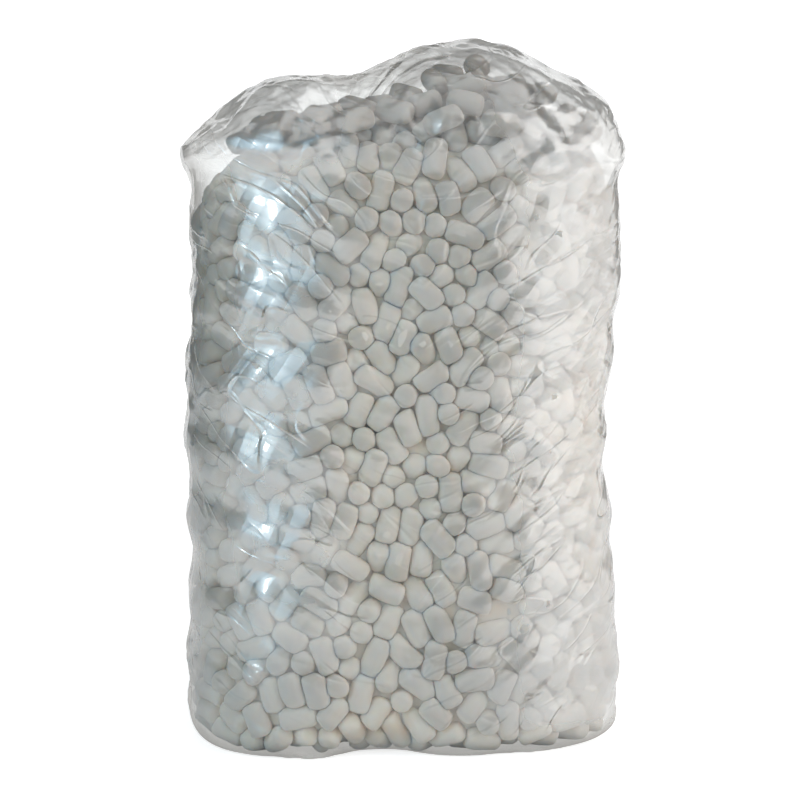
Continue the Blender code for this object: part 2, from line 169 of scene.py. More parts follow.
def crownHeight(x, y):
    fullness = np.clip(1 - offRidge(x, y) ** bag["fullness"], 0, 1) ** bag["edge"]
    fromNeck = np.hypot(x - bag["neckAt"][0], y - bag["neckAt"][1])
    hollow = bag["hollowDepth"] * np.exp(-((fromNeck / bag["hollowWidth"]) ** 2))
    return bag["shoulder"] + (riseOver(bag["skyline"], x) - hollow) * fullness


def moundRise(x, y):
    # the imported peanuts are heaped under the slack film, and stay clear of it
    rise = riseOver(bag["mound"], x)
    rise = np.where(rise > 0, rise * (1 - offRidge(x, y) ** 2), rise)
    return np.minimum(rise, crownHeight(x, y) - bag["shoulder"] - bag["moundRoom"])


def mounded(points):
    lifted = points.copy()
    upper = smoothStep(bag["moundStart"] * bag["shoulder"], bag["shoulder"], points[..., 2])
    lifted[..., 2] += moundRise(points[..., 0], points[..., 1]) * upper
    return lifted


def newMesh(name, points, faces, finish, body="root"):
    mesh = bpy.data.meshes.new(name)
    mesh.from_pydata(points.tolist() if hasattr(points, "tolist") else points, [], faces)
    mesh.materials.append(finish)
    mesh.shade_smooth()
    thing = bpy.data.objects.new(name, mesh)
    scene.collection.objects.link(thing)
    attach(thing, body)
    return thing


def roundFaces(rowCount, columns):
    # the faces of a sheet that closes on itself round the bag, row by row
    index = np.arange(rowCount * columns).reshape(rowCount, columns)
    beside = np.roll(index, -1, axis=1)
    return np.stack((index[:-1], beside[:-1], beside[1:], index[1:]), axis=-1).reshape(-1, 4).tolist()


def keepPointValues(thing, name, values):
    layer = thing.data.attributes.new(name, "FLOAT", "POINT")
    layer.data.foreach_set("value", np.asarray(values, dtype=np.float32))


smoothSkyline()


# Finishes
class Nodes:
    # short forms for building a node material
    def __init__(self, name):
        self.finish = bpy.data.materials.new(name)
        self.finish.use_nodes = True
        self.tree = self.finish.node_tree
        self.shader = self.tree.nodes["Principled BSDF"]
        self.output = self.tree.nodes["Material Output"]

    def add(self, kind, inputs=(), **settings):
        node = self.tree.nodes.new(kind)
        for key, value in settings.items():
            setattr(node, key, value)
        for key, value in dict(inputs).items():
            self.feed(node, key, value)
        return node

    def feed(self, node, key, value):
        socket = node.inputs[key]
        if hasattr(value, "is_output"):
            self.tree.links.new(value, socket)
        else:
            socket.default_value = value

    def maths(self, operation, *values, clamp=False):
        node = self.add("ShaderNodeMath", enumerate(values), operation=operation, use_clamp=clamp)
        return node.outputs[0]

    def ramp(self, value, stops):
        node = self.add("ShaderNodeValToRGB", {"Fac": value})
        band = node.color_ramp
        while len(band.elements) < len(stops):
            band.elements.new(0.5)
        for element, (place, colour) in zip(band.elements, stops):
            element.position = place
            element.color = (*colour, 1.0) if len(colour) == 3 else colour
        return node.outputs["Color"]


foam = {
    "skin": (0.600, 0.562, 0.520),
    "skinCool": (0.590, 0.571, 0.548),
    "crevice": (0.790, 0.725, 0.650),    # painted light: a lighter colour a little way in between the peanuts, where shade falls
    "paintedDeepLight": (0.840, 0.700, 0.570),    # painted warm light, further in
    "creviceBy": 2.2,           # how soon the skin's colour gives way to the painted crevice light
    "deepLightFrom": 0.45,            # and how far in that gives way to the painted warm light
    "roughness": 0.75,
    "gloss": 0.3,
    "glow": 1.0,                # light that goes through the foam
    "glowColour": (1.0, 0.75, 0.55),
    "glowReach": 0.012,
    "cells": 420.0,             # the fine grain of the foam, and the dents in it
    "cellHeight": 0.0006,
    "cellStrength": 0.25,
    "dents": 95.0,
    "dentHeight": 0.0016,
    "dentStrength": 0.5,
    # how far in a peanut's colour starts to turn to the painted crevice light, and over what depth
    "outerTurns": (0.0035, 0.017),
    "innerTurns": (0.004, 0.022),
    # from skinCool to skin: the middle of their tones and how far they differ
    "packedTones": (0.55, 0.28),
    "looseTones": (0.6, 0.25),
}


def makeFoamFinish():
    n = Nodes("starch foam skin")
    tone = n.add("ShaderNodeAttribute", attribute_name="tone").outputs["Fac"]
    deep = n.add("ShaderNodeAttribute", attribute_name="deep").outputs["Fac"]
    place = n.add("ShaderNodeTexCoord").outputs["Object"]
    cells = n.add("ShaderNodeTexNoise", {
        "Vector": place, "Scale": foam["cells"], "Detail": 3.0, "Roughness": 0.6,
    })
    dents = n.add("ShaderNodeTexNoise", {"Vector": place, "Scale": foam["dents"], "Detail": 2.0})
    skin = n.ramp(tone, [(0.0, foam["skinCool"]), (1.0, foam["skin"])])
    crevice = foam["crevice"]
    # painted light: between the peanuts the colour turns lighter and warmer with depth, in place of the
    # light that would reach there
    hollow = n.ramp(deep, [(0.0, crevice), (foam["deepLightFrom"], crevice), (1.0, foam["paintedDeepLight"])])
    skinWithPaintedLight = n.add("ShaderNodeMix", data_type="RGBA")
    n.feed(skinWithPaintedLight, 0, n.maths("MULTIPLY", deep, foam["creviceBy"], clamp=True))
    n.feed(skinWithPaintedLight, 6, skin)
    n.feed(skinWithPaintedLight, 7, hollow)
    grain = n.add("ShaderNodeBump", {
        "Strength": foam["cellStrength"], "Distance": foam["cellHeight"],
        "Height": cells.outputs["Fac"],
    })
    dented = n.add("ShaderNodeBump", {
        "Strength": foam["dentStrength"], "Distance": foam["dentHeight"],
        "Height": dents.outputs["Fac"], "Normal": grain.outputs["Normal"],
    })
    n.feed(n.shader, "Base Color", skinWithPaintedLight.outputs[2])
    n.feed(n.shader, "Roughness", foam["roughness"])
    n.feed(n.shader, "Specular IOR Level", foam["gloss"])
    n.feed(n.shader, "Subsurface Weight", foam["glow"])
    n.feed(n.shader, "Subsurface Radius", foam["glowColour"])
    n.feed(n.shader, "Subsurface Scale", foam["glowReach"])
    n.feed(n.shader, "Normal", dented.outputs["Normal"])
    return n.finish


foamFinish = makeFoamFinish()

# Packed peanuts: thrown between the film and a little way in, and pushed apart until they lie side by side
packing = {
    "outer": 1340,              # peanuts that start against the film
    "inner": 1000,              # peanuts behind them, seen in the gaps
    "outerStart": (0, 0.004),   # how far in they start
    "innerStart": (0.015, 0.030),
    "lieFlat": 0.75,            # 1 lays them all along the film
    "ballRadius": 0.0095,       # each packs as two balls
    "ballReach": 0.0060,        # from its middle to each ball's centre
    "wallGap": 0.0016,          # from the plain form of the bag
    "wallRadius": 0.0100,
    "unevenness": 0.0060,       # how far a peanut's end may stay back from the film
    "unevenBy": 1.6,            # more keeps more of them near the film
    "deepest": 0.030,
    "bringBack": 0.5,           # share of the way that one further in is moved back out in a round
    "top": 0.484,               # before the mound lifts it
    "topSquareness": 9.0,
    "footSquareness": 19.0,
    "rounds": 200,
    "lookEvery": 8,             # rounds between two searches for near balls
    "lookFurther": 0.004,
    "push": 0.55,
    "pull": 0.00022,
    "outerWithin": 0.011,       # peanuts this near to the film are made finely
    "touching": 0.008,
    "floorGap": 0.0006,
    "coreInset": 0.0145,        # the plain body behind the gaps
    "coreColumns": 48,
    "coreRows": 40,
    "coreStart": (0.1, 0.08, 0.2),
    "seed": 11,
}
peanut = {
    "radius": 0.0093,
    "length": 0.0300,
    "lengthSpread": 0.13,
    "lengthRange": (-1, 0.7),   # in spreads, so that most are a little short
    "radiusSpread": 0.05,
    "bend": 0.0012,
    "slantedEnd": 0.16,
    "slantSpread": 0.6,
    "lumps": 0.045,
    "lumpRange": (0.2, 1.0),
    "lumpTwist": 2.5,           # of the third set of lumps, from the middle to an end
    "thirdLumps": 0.7,
    "middleLumps": 0.4,         # the share of the first set that is left at the middle
    "capRise": 0.0003,
    "fineSides": 14,
    "looseSides": 16,
    "plainSides": 9,
    # from one end to the other: share of the radius, share of half the length
    "fineProfile": [
        (0.40, -0.995), (0.74, -0.935), (0.93, -0.79), (1.0, -0.50), (1.01, 0.0),
        (1.0, 0.50), (0.93, 0.79), (0.74, 0.935), (0.40, 0.995),
    ],
    "plainProfile": [(0.60, -0.97), (0.98, -0.70), (1.0, 0.0), (0.98, 0.70), (0.60, 0.97)],
}


def packedForm(points, inset):
    # 1 on the form, less inside it, and the slope of that value
    low, high = fillLow.z, packing["top"]
    half = np.array((bag["width"] / 2, bag["depth"] / 2, (high - low) / 2)) - inset
    half[2] = (high - low) / 2 - (inset - packing["wallGap"])
    middle = np.array((0.0, 0.0, (low + high) / 2))
    offset = points - middle
    share = np.maximum(np.abs(offset) / half, 1e-6)
    n = bag["squareness"]
    plan = (share[:, 0] ** n + share[:, 1] ** n) ** (1 / n)
    m = np.where(offset[:, 2] > 0, packing["topSquareness"], packing["footSquareness"])
    whole = (plan ** m + share[:, 2] ** m) ** (1 / m)
    towards = np.sign(offset) / half
    planPull = (plan / whole) ** (m - 1)
    slope = np.stack((
        planPull * (share[:, 0] / plan) ** (n - 1),
        planPull * (share[:, 1] / plan) ** (n - 1),
        (share[:, 2] / whole) ** (m - 1),
    ), axis=1) * towards
    return whole, slope


def nearPairs(balls, reach, fixedFrom):
    tree = kdtree.KDTree(len(balls))
    for k, ball in enumerate(balls):
        tree.insert(ball, k)
    tree.balance()
    pairs = []
    for k in range(fixedFrom):
        mate = k ^ 1
        for _, other, _ in tree.find_range(balls[k], reach):
            if other > k and other != mate:
                pairs.append((k, other))
    return np.array(pairs).T


def gather(where, pushes, count):
    # the sum of the pushes on each ball
    sums = [np.bincount(where, weights=pushes[:, axis], minlength=count) for axis in range(3)]
    return np.stack(sums, axis=1)


def packPeanuts(fixedBalls):
    draw = np.random.default_rng(packing["seed"])
    count = packing["outer"] + packing["inner"]
    inset = packing["wallGap"] + packing["wallRadius"]
    half = np.array((bag["width"] / 2, bag["depth"] / 2, packing["top"] / 2))
    sideAreas = half[[1, 0, 0]] * half[[2, 2, 1]]
    face = draw.choice(3, size=count, p=sideAreas / sideAreas.sum())
    start = draw.uniform(-1.0, 1.0, (count, 3))
    start[np.arange(count), face] = draw.choice((-1.0, 1.0), size=count)
    start = start * half + (0.0, 0.0, packing["top"] / 2)
    whole, _ = packedForm(start, inset)
    middle = np.array((0.0, 0.0, packing["top"] / 2))
    start = middle + (start - middle) / whole[:, None]
    _, slope = packedForm(start, inset)
    outward = unit(slope)
    outerBack = draw.uniform(*packing["outerStart"], count)
    innerBack = draw.uniform(*packing["innerStart"], count)
    back = np.where(np.arange(count) < packing["outer"], outerBack, innerBack)
    start -= back[:, None] * outward
    axes = draw.normal(size=(count, 3))
    axes -= packing["lieFlat"] * (axes * outward).sum(axis=1)[:, None] * outward
    axes = unit(axes) * packing["ballReach"]
    balls = np.stack((start - axes, start + axes), axis=1).reshape(-1, 3)
    moving = len(balls)
    balls = np.concatenate((balls, fixedBalls))
    free = np.arange(len(balls)) < moving
    spacing = 2 * packing["ballRadius"]
    heldBack = packing["unevenness"] * draw.random(moving) ** packing["unevenBy"]
    for turn in range(packing["rounds"]):
        if turn % packing["lookEvery"] == 0:
            one, other = nearPairs(balls, spacing + packing["lookFurther"], moving)
        apart = balls[one] - balls[other]
        gap = np.maximum(norms(apart), 1e-6)
        push = np.clip(spacing - gap, 0, None) / gap
        share = np.where(free[other], 0.5, 1.0)
        move = apart * (packing["push"] * push * share)[:, None]
        shift = gather(one, move, len(balls)) - gather(other, move, len(balls))
        shift[~free] = 0
        balls += shift
        whole, slope = packedForm(balls[:moving], inset)
        steep = (slope * slope).sum(axis=1)
        depth = (1 - whole) / np.sqrt(steep) - heldBack
        settle = packing["pull"] * (1 - turn / packing["rounds"])
        tooDeep = np.clip(depth - packing["deepest"], 0, None)
        outwards = np.minimum(depth, settle) + tooDeep * packing["bringBack"]
        balls[:moving] += unit(slope) * outwards[:, None]
        rods = balls[:moving].reshape(-1, 2, 3)
        span = rods[:, 1] - rods[:, 0]
        length = np.maximum(norms(span), 1e-6)
        fix = span * ((length - 2 * packing["ballReach"]) / length / 2)[:, None]
        rods[:, 0] += fix
        rods[:, 1] -= fix
    whole, slope = packedForm(balls[:moving], inset)
    depth = ((1 - whole) / norms(slope)).reshape(-1, 2).mean(axis=1)
    return rods, depth, unit(slope).reshape(-1, 2, 3).mean(axis=1)


def drawnIn(points):
    # the filled and mounded form, with the folds round the sides
    angle = np.arctan2(points[:, 1], points[:, 0])
    settled = filledForm(mounded(points))
    inward = -unit(points * (1, 1, 0))
    return settled + inward * foldInset(angle, points[:, 2])[:, None]


def shapePeanuts(draw, middles, axes, sides, profile):
    # barrels with rounded ends, each with its own length, width, bend, slanted ends and lumps
    count = len(middles)
    profile = np.array(profile)
    along = unit(axes)
    side = unit(np.cross(along, unit(draw.normal(size=(count, 3)))))
    up = np.cross(along, side)
    turns = 2 * math.pi * np.arange(sides) / sides
    longer = peanut["lengthSpread"] * draw.uniform(*peanut["lengthRange"], count)
    halfLength = peanut["length"] / 2 * (1 + longer)
    wide = peanut["radius"] * (1 + peanut["radiusSpread"] * draw.uniform(-1, 1, (2, count)))
    lumpTurn = draw.uniform(0, 2 * math.pi, (3, count))[..., None, None]
    lumpSize = (peanut["lumps"] * draw.uniform(*peanut["lumpRange"], (3, count)))[..., None, None]
    bend = peanut["bend"] * draw.normal(size=count)
    slant = (peanut["slantedEnd"] * draw.normal(size=(2, 2, count)) * peanut["slantSpread"])[..., None, None]
    # t runs from one end to the other and a runs round
    t = profile[:, 1][None, :, None]
    shares = profile[:, 0][None, :, None]
    a = turns[None, None, :]
    level = peanut["middleLumps"]
    lump = 1 + lumpSize[0] * np.cos(2 * a + lumpTurn[0]) * (level + (1 - level) * t * t)
    lump = lump + lumpSize[1] * np.cos(a + lumpTurn[1]) * t
    twisted = 3 * a + peanut["lumpTwist"] * t + lumpTurn[2]
    lump = lump + peanut["thirdLumps"] * lumpSize[2] * np.cos(twisted)
    u = shares * lump * np.cos(a) * wide[0][:, None, None]
    v = shares * lump * np.sin(a) * wide[1][:, None, None]
    tiltU = np.where(t > 0, slant[0, 0], slant[0, 1])
    tiltV = np.where(t > 0, slant[1, 0], slant[1, 1])
    w = t * halfLength[:, None, None] + (tiltU * u + tiltV * v) * np.abs(t) ** 3
    u = u + bend[:, None, None] * (1 - t * t)
    points = (middles[:, None, None, :] + u[..., None] * side[:, None, None, :]
              + v[..., None] * up[:, None, None, :] + w[..., None] * along[:, None, None, :])
    rings = points.reshape(count, -1, 3)
    ends = np.stack((points[:, 0].mean(axis=1), points[:, -1].mean(axis=1)), axis=1)
    ends[:, 0] -= along * peanut["capRise"]
    ends[:, 1] += along * peanut["capRise"]
    points = np.concatenate((rings, ends), axis=1)
    rows = len(profile)
    faces = []
    for row in range(rows - 1):
        for k in range(sides):
            here, beside = row * sides + k, row * sides + (k + 1) % sides
            faces.append((here, beside, beside + sides, here + sides))
    caps = []
    low, high = rows * sides, rows * sides + 1
    for k in range(sides):
        beside = (k + 1) % sides
        caps.append((low, beside, k))
        caps.append((high, (rows - 1) * sides + k, (rows - 1) * sides + beside))
    return points, faces, caps


def depthTurned(points, turns):
    # 0 at the skin to 1 deep in, by how far each point lies under the plain form
    whole, slope = packedForm(points.reshape(-1, 3), packing["wallGap"])
    below = (1 - whole) / norms(slope)
    start, over = turns
    return np.clip((below - start) / over, 0, 1)


def peanutPiece(name, points, faces, caps, deep, tone):
    count, each, _ = points.shape
    points[..., 2] = np.maximum(points[..., 2], packing["floorGap"])      # flattened by the floor
    start = np.arange(count)[:, None, None] * each
    allFaces = (start + np.array(faces)[None]).reshape(-1, 4).tolist()
    allFaces += (start + np.array(caps)[None]).reshape(-1, 3).tolist()
    thing = newMesh(name, points.reshape(-1, 3), allFaces, foamFinish)
    keepPointValues(thing, "deep", deep.reshape(-1))
    keepPointValues(thing, "tone", np.repeat(tone, each))
    return thing


# The loose peanuts lie where the model has them
loose = sorted(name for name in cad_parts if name.startswith("loose_peanut"))
looseMiddles, looseAxes = [], []
for name in loose:
    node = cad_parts[name]
    corners = np.array([node.matrix_world @ v.co for v in node.data.vertices])
    centre = corners.mean(axis=0)
    offsets = corners - centre
    _, vectors = np.linalg.eigh(offsets.T @ offsets)
    reach = [np.ptp(offsets @ vectors[:, k]) for k in range(3)]
    looseMiddles.append(centre)
    looseAxes.append(vectors[:, int(np.argmax(reach))])
looseMiddles, looseAxes = np.array(looseMiddles), unit(np.array(looseAxes))
looseReach = looseAxes * packing["ballReach"]
fixedBalls = np.concatenate((looseMiddles - looseReach, looseMiddles + looseReach))
fixedBalls[:, 2] -= moundRise(fixedBalls[:, 0], fixedBalls[:, 1])

rods, depth, outward = packPeanuts(fixedBalls)
ends = drawnIn(rods.reshape(-1, 3)).reshape(-1, 2, 3)
middles = ends.mean(axis=1)
axes = unit(ends[:, 1] - ends[:, 0])
against = depth < packing["touching"]
print("packed", len(middles), "peanuts,", int(against.sum()), "of them against the film")

draw = np.random.default_rng(packing["seed"] + 1)
tone = np.clip(draw.normal(*foam["packedTones"], len(middles)), 0, 1)
outer = depth < packing["outerWithin"]
sideNames = {
    "front_peanuts": (0, -1, 0), "back_peanuts": (0, 1, 0), "left_peanuts": (-1, 0, 0),
    "right_peanuts": (1, 0, 0), "top_peanuts": (0, 0, 1), "bottom_peanuts": (0, 0, -1),
}
facing = np.argmax(outward @ np.array(list(sideNames.values())).T, axis=1)
packedPieces = []
for number, name in enumerate(sideNames):
    mine = outer & (facing == number)
    points, faces, caps = shapePeanuts(
        draw, middles[mine], axes[mine], peanut["fineSides"], peanut["fineProfile"])
    deep = depthTurned(points, foam["outerTurns"])
    packedPieces.append(peanutPiece(name, points, faces, caps, deep, tone[mine]))
    print(name, int(mine.sum()))
points, faces, caps = shapePeanuts(
    draw, middles[~outer], axes[~outer], peanut["plainSides"], peanut["plainProfile"])
deep = depthTurned(points, foam["innerTurns"])
packedPieces.append(peanutPiece("inner_peanuts", points, faces, caps, deep, tone[~outer]))

looseTone = np.clip(draw.normal(*foam["looseTones"], len(loose)), 0, 1)
for k, name in enumerate(loose):
    pick = slice(k, k + 1)
    points, faces, caps = shapePeanuts(
        draw, looseMiddles[pick], looseAxes[pick], peanut["looseSides"], peanut["fineProfile"])
    piece = peanutPiece(name + "_foam", points, faces, caps, np.zeros(points.shape[1]), looseTone[pick])
    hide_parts(name)
    packedPieces.append(piece)


# The peanuts further in, as one plain body behind the gaps
def makeCore():
    columns, rows = packing["coreColumns"], packing["coreRows"]
    points = []
    for row in range(1, rows):
        tilt = math.pi * row / rows
        for k in range(columns):
            turn = 2 * math.pi * k / columns
            points.append((math.sin(tilt) * math.cos(turn), math.sin(tilt) * math.sin(turn), math.cos(tilt)))
    points += [(0, 0, 1), (0, 0, -1)]
    # a small ball at first, which packedForm then swells to the bag's form
    points = np.array(points) * packing["coreStart"] + (0, 0, packing["top"] / 2)
    whole, _ = packedForm(points, packing["coreInset"])
    middle = np.array((0.0, 0.0, (fillLow.z + packing["top"]) / 2))
    points = drawnIn(middle + (points - middle) / whole[:, None])
    faces = []
    for row in range(rows - 2):
        for k in range(columns):
            here, beside = row * columns + k, row * columns + (k + 1) % columns
            faces.append((here, here + columns, beside + columns, beside))
    top, bottom = len(points) - 2, len(points) - 1
    last = (rows - 2) * columns
    for k in range(columns):
        beside = (k + 1) % columns
        faces.append((top, k, beside))
        faces.append((bottom, last + beside, last + k))
    core = newMesh("peanuts_within", points, faces, foamFinish)
    # deep is 1 all over, so the whole core takes the painted warm light
    keepPointValues(core, "deep", np.ones(len(points)))
    keepPointValues(core, "tone", np.ones(len(points)))
    return core


packedPieces.append(makeCore())
for piece in packedPieces:
    if not piece.name.startswith("loose"):
        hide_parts("peanut_fill")
print("peanuts made")

# The film: one open sheet, drawn over the peanuts, slack in the crown and gathered at the neck
film = {
    "columns": 400,
    "footRows": 12,
    "footMiddle": 0.04,         # the share of the foot's width that one flat face closes
    "roundingRows": 10,
    "sideRows": 138,
    "crownRows": 58,
    "crownCrowding": 1.35,      # more draws the crown's rows together at the shoulder
    "neckRows": 6,
    "tuftRows": 8,
    "neckRadius": 0.0085,
    "pleats": 9,
    "pleatDepth": 0.0026,
    "crownPleatDepth": 0.0030,
    "tuftFlare": 0.007,
    "tuftPleatGrowth": 0.0014,
    "tuftLength": 0.014,
    "clearance": 0.0004,        # over the peanuts
    "feelFrom": 0.012,          # how far outside the film the search for peanuts starts
    "feelFurther": 0.004,       # and how much further it goes inside
    "crownFeelFrom": 0.009,
    "openHeight": -0.020,       # where there is no peanut under it
    "tautness": 220,            # rounds of drawing it tight over the peanuts
    "tautPull": 0.00001,
    "softening": 12,
    "lowestStart": -0.004,
    "mostLack": 0.004,          # how far it may be raised again where it still cuts in
    "lackRounds": (4, 6),       # of growing that wider, and of smoothing it
    "liftRounds": (2, 3),       # the same for the crown
    "footFade": (-4, 3),        # the rows over which it starts to follow the peanuts
    "shoulderFade": (0, 10),    # and over which it stops
    "deepest": -0.009,          # and where it ends up, from the plain form
    "highest": 0.006,
    "flatSize": (0.62, 0.75),   # of the empty bag, laid flat
}
# The long slanting folds in the sides, and the soft swells between them
sideFolds = {
    "slope": 0.55,
    "slopeTurn": 2.5,           # more lets the slope turn over nearer to the middle of the front
    "depthShare": 0.6,          # of the depth, in the way round the bag
    "lengthGrain": 0.35,        # less makes them longer
    "widthGrain": 1.6,          # more makes them narrower
    "height": 0.0011,
    "width": 0.016,
    "sharpness": 2.2,
    "patchWidth": 0.060,
    "patchEnds": (-0.15, 0.35),
    "swellHeight": 0.0016,
    "swellWidth": 0.034,
}
crownFolds = {
    "creaseHeight": 0.0018,     # of the creases that run to the neck
    "creaseWidth": 0.011,
    "creaseSharpness": 2.4,
    "creaseRing": 0.05,         # the distance from the neck at which they are as wide as that
    "creaseGrain": 0.22,        # less makes them longer
    "crumpleHeight": 0.0024,
    "crumpleWidth": 0.026,
    "smallHeight": 0.0008,
    "smallWidth": 0.011,
    "smallSharpness": 2.0,
    "starts": (0, 0.06),        # by share of the crown's rows, from the shoulder to the neck
    "ends": (0.75, 1.0),
}
# The slack crown as simulated cloth
cloth = {
    "rowStep": 2,               # it has every second row and fourth column of the film
    "columnStep": 4,
    "rowsBelow": 8,             # of the film, under the shoulder
    "heldLow": 2,               # rows that are held there, and at the neck
    "heldHigh": 3,
    "peanutsFrom": 0.44,        # the height from which it feels the peanuts
    "frames": 20,
    "quality": 6,
    "mass": 0.0005,
    "stretch": 20,
    "shear": 8,
    "bend": 0.02,
    "airDrag": 1.0,
    "slack": 0.018,
    "air": 0.35,                # pressure of the air under it
    "gap": 0.0015,
    "reach": 0.0045,            # no point moves further than this
}


def sectionPoints(angle, inset, z):
    n = bag["squareness"]
    across = np.abs(np.cos(angle)) / (bag["width"] / 2 - inset)
    along = np.abs(np.sin(angle)) / (bag["depth"] / 2 - inset)
    radius = (across ** n + along ** n) ** (-1 / n)
    x, y = radius * np.cos(angle), radius * np.sin(angle)
    return np.stack((x, y, np.broadcast_to(z, radius.shape)), axis=-1)


def neckRing(angle, radius, depth, z):
    pleat = depth * (0.5 - 0.5 * np.cos(film["pleats"] * angle))
    ring = np.stack((np.cos(angle), np.sin(angle)), axis=-1) * (radius - pleat)[:, None] + bag["neckAt"]
    return np.concatenate((ring, np.full((len(angle), 1), z)), axis=1)


def filmRings():
    # the plain film, ring by ring; kinds are 0 under the foot, 1 up the sides, 2 in the crown, 3 at the neck
    angle = 2 * math.pi * np.arange(film["columns"]) / film["columns"]
    rows, kinds = [], []
    foot = bag["footRounding"]
    for share in np.linspace(film["footMiddle"], 1, film["footRows"]):
        rows.append(filledForm(sectionPoints(angle, foot, 0.0) * (share, share, 1)))
        kinds.append(0)
    for turn in np.linspace(0, math.pi / 2, film["roundingRows"] + 1)[1:-1]:
        inset, rise = foot * (1 - math.sin(turn)), foot * (1 - math.cos(turn))
        rows.append(filledForm(sectionPoints(angle, inset, rise)))
        kinds.append(1)
    for z in np.linspace(foot, bag["shoulder"], film["sideRows"]):
        rows.append(filledForm(sectionPoints(angle, foldInset(angle, z), z)))
        kinds.append(1)
    neck = neckRing(angle, film["neckRadius"], film["pleatDepth"], 0.0)
    for step in np.linspace(0, 1, film["crownRows"] + 1)[1:-1] ** film["crownCrowding"]:
        ring = sectionPoints(angle, 0.0, 0.0)
        ring = ring + (neck - ring) * step
        pleats = film["crownPleatDepth"] * step * np.cos(film["pleats"] * angle)
        ring[:, 2] = crownHeight(ring[:, 0], ring[:, 1]) + pleats
        rows.append(ring)
        kinds.append(2)
    neckFoot = float(crownHeight(*np.array([bag["neckAt"]]).T)[0])
    neckTop = tieLow.z + tieHigh.z - neckFoot       # as far over the tie as the crown is under it
    for z in np.linspace(neckFoot, neckTop, film["neckRows"]):
        rows.append(neckRing(angle, film["neckRadius"], film["pleatDepth"], z))
        kinds.append(3)
    for share in np.linspace(0, 1, film["tuftRows"] + 1)[1:]:
        radius = film["neckRadius"] + film["tuftFlare"] * share
        depth = film["pleatDepth"] + film["tuftPleatGrowth"] * share
        rows.append(neckRing(angle, radius, depth, neckTop + film["tuftLength"] * share))
        kinds.append(3)
    return np.array(rows), np.array(kinds)


def gridNormals(rows):
    around = np.roll(rows, -1, axis=1) - np.roll(rows, 1, axis=1)
    up = np.gradient(rows, axis=0)
    return unit(np.cross(around, up))


def fieldOf(points, scale, seed):
    # smooth noise for each point, from -1 to 1
    shift = Vector((seed * 7.13, seed * 3.71, seed * 5.37))
    flat = points.reshape(-1, 3) / scale
    return np.array([noise.noise(Vector(p) + shift) for p in flat]).reshape(points.shape[:-1])


def fineFolds(rows):
    # long slanting folds: down to the right on the left half, down to the left on the right half
    turnLeft = np.clip(-rows[..., 0] / (bag["width"] / 2), -1, 1)
    slope = sideFolds["slope"] * np.tanh(sideFolds["slopeTurn"] * turnLeft)
    arc = rows[..., 0] - rows[..., 1] * np.sign(rows[..., 0]) * sideFolds["depthShare"]
    across = rows[..., 2] + slope * rows[..., 0]
    grain = sideFolds["lengthGrain"]
    drawnOut = np.stack((arc * grain, rows[..., 1] * grain, across * sideFolds["widthGrain"]), axis=-1)
    ridged = 1 - np.abs(fieldOf(drawnOut, sideFolds["width"], 3)) * sideFolds["sharpness"]
    swell = fieldOf(drawnOut, sideFolds["swellWidth"], 5)
    patches = smoothStep(*sideFolds["patchEnds"], fieldOf(rows, sideFolds["patchWidth"], 8))
    return sideFolds["height"] * ridged * patches + sideFolds["swellHeight"] * swell


def crownCreases(rows):
    # creases that run from the shoulders to the neck, and crumples between them
    x, y = rows[..., 0] - bag["neckAt"][0], rows[..., 1] - bag["neckAt"][1]
    turn, reach = np.arctan2(y, x), np.hypot(x, y)
    ring = crownFolds["creaseRing"]
    radial = np.stack((np.cos(turn) * ring, np.sin(turn) * ring, reach * crownFolds["creaseGrain"]), axis=-1)
    ridged = 1 - crownFolds["creaseSharpness"] * np.abs(fieldOf(radial, crownFolds["creaseWidth"], 12))
    crumple = fieldOf(rows, crownFolds["crumpleWidth"], 15)
    small = 1 - crownFolds["smallSharpness"] * np.abs(fieldOf(rows, crownFolds["smallWidth"], 17))
    return (crownFolds["creaseHeight"] * ridged + crownFolds["crumpleHeight"] * crumple
            + crownFolds["smallHeight"] * small)


def neighbourMean(values):
    return 0.25 * (np.roll(values, 1, axis=0) + np.roll(values, -1, axis=0)
                   + np.roll(values, 1, axis=1) + np.roll(values, -1, axis=1))


def spread(values, rounds, smoothing):
    # high values grow over their neighbours, and are then smoothed
    for _ in range(rounds):
        beside = [np.roll(values, step, axis=axis) for axis in (0, 1) for step in (-1, 1)]
        values = np.maximum.reduce([values] + beside)
    for _ in range(smoothing):
        values = 0.5 * values + 0.5 * neighbourMean(values)
    return values


def feelPeanuts(rows, normals, tree, rowNumbers, start, length):
    # how high over the film the peanuts under it reach, where it finds any
    height = np.full(rows.shape[:2], np.nan)
    for r in rowNumbers:
        for c in range(rows.shape[1]):
            point = rows[r, c] + normals[r, c] * start
            hit = tree.ray_cast(Vector(point), Vector(-normals[r, c]), length)
            if hit[0] is not None:
                height[r, c] = start - hit[3] + film["clearance"]
    return height


